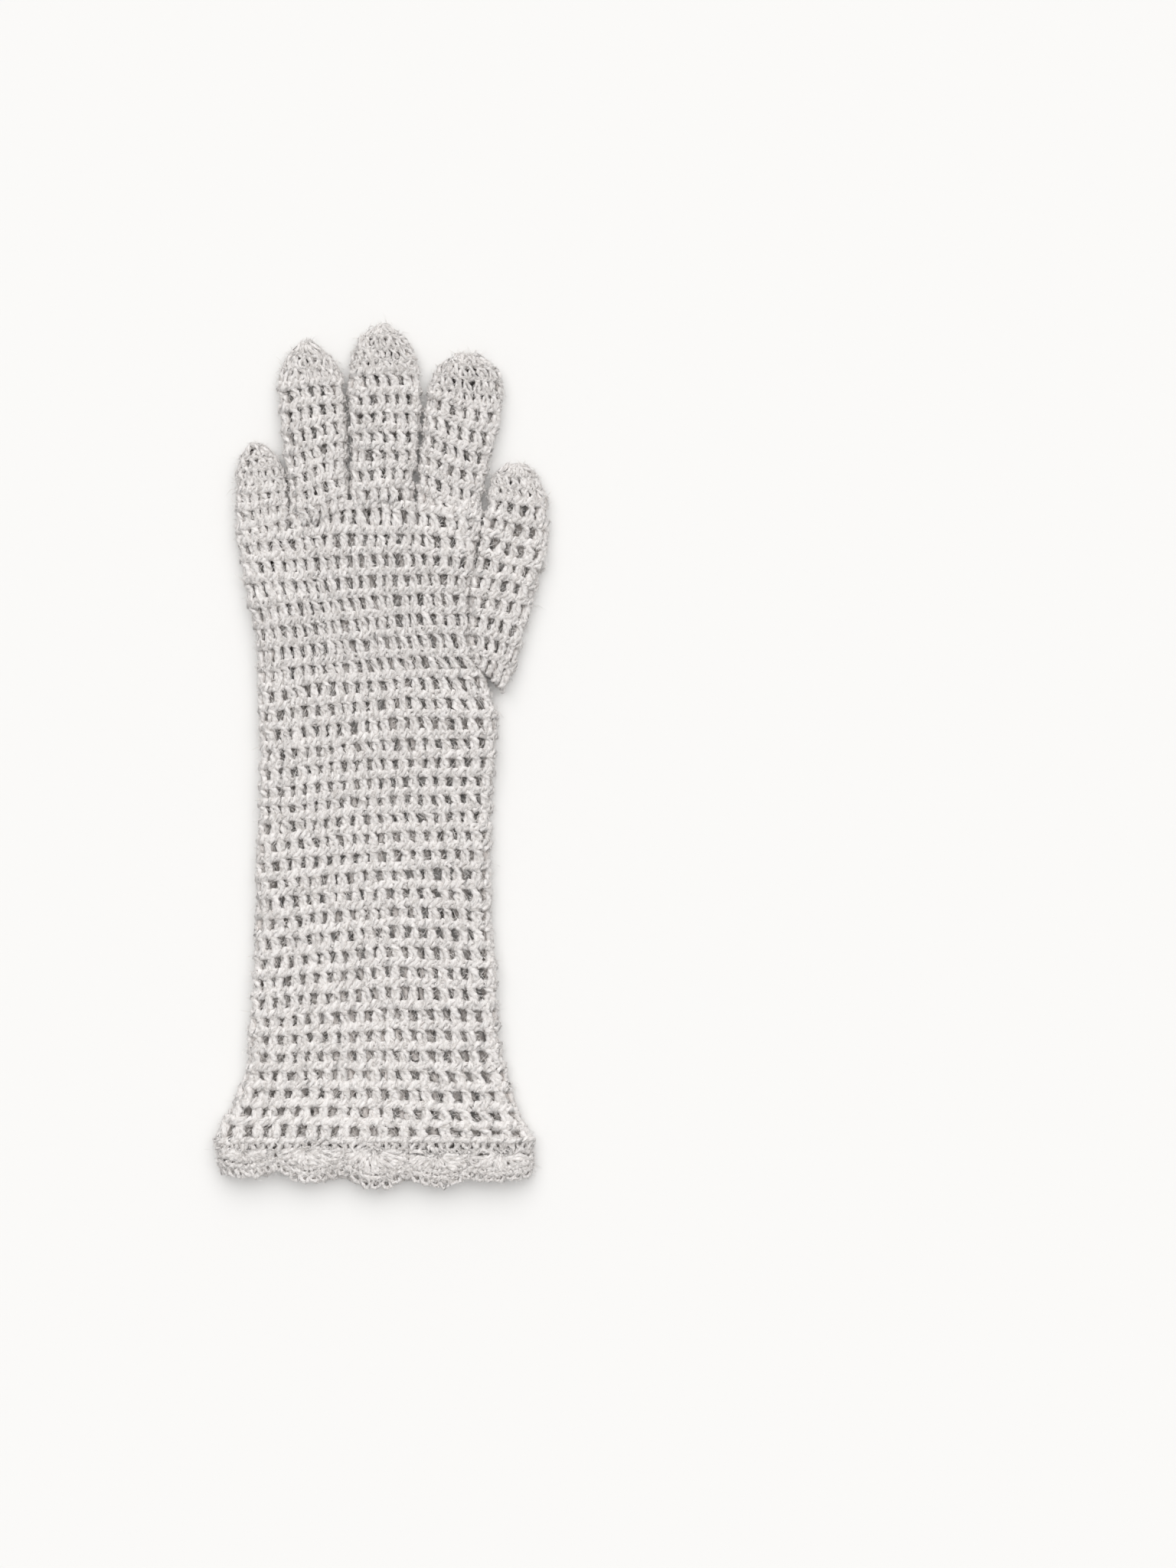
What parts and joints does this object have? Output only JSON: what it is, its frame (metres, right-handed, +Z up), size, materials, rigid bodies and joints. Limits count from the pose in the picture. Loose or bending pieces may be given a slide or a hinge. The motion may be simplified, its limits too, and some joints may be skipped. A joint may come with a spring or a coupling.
{
  "type": "crocheted glove",
  "caption": "Long openwork crocheted wool glove with closed fingers and a flared, scalloped cuff, lying flat.",
  "frame": {"origin": "middle of the glove's outline, on the surface that it lies on", "axes": "+Y from the cuff to the fingertips, +X towards the thumb, +Z up from the surface"},
  "size_m": [0.1308, 0.3394, 0.0109],
  "materials": {
    "wool": "soft hairy wool yarn, marled from off-white and light grey fibres, matt with a faint sheen"
  },
  "bodies": {
    "root": {"sleeve_and_palm": "wool", "close_round": "wool", "shell_edging": "wool", "little_finger": "wool", "ring_finger": "wool", "middle_finger": "wool", "index_finger": "wool", "thumb": "wool"}
  },
  "joints": []
}
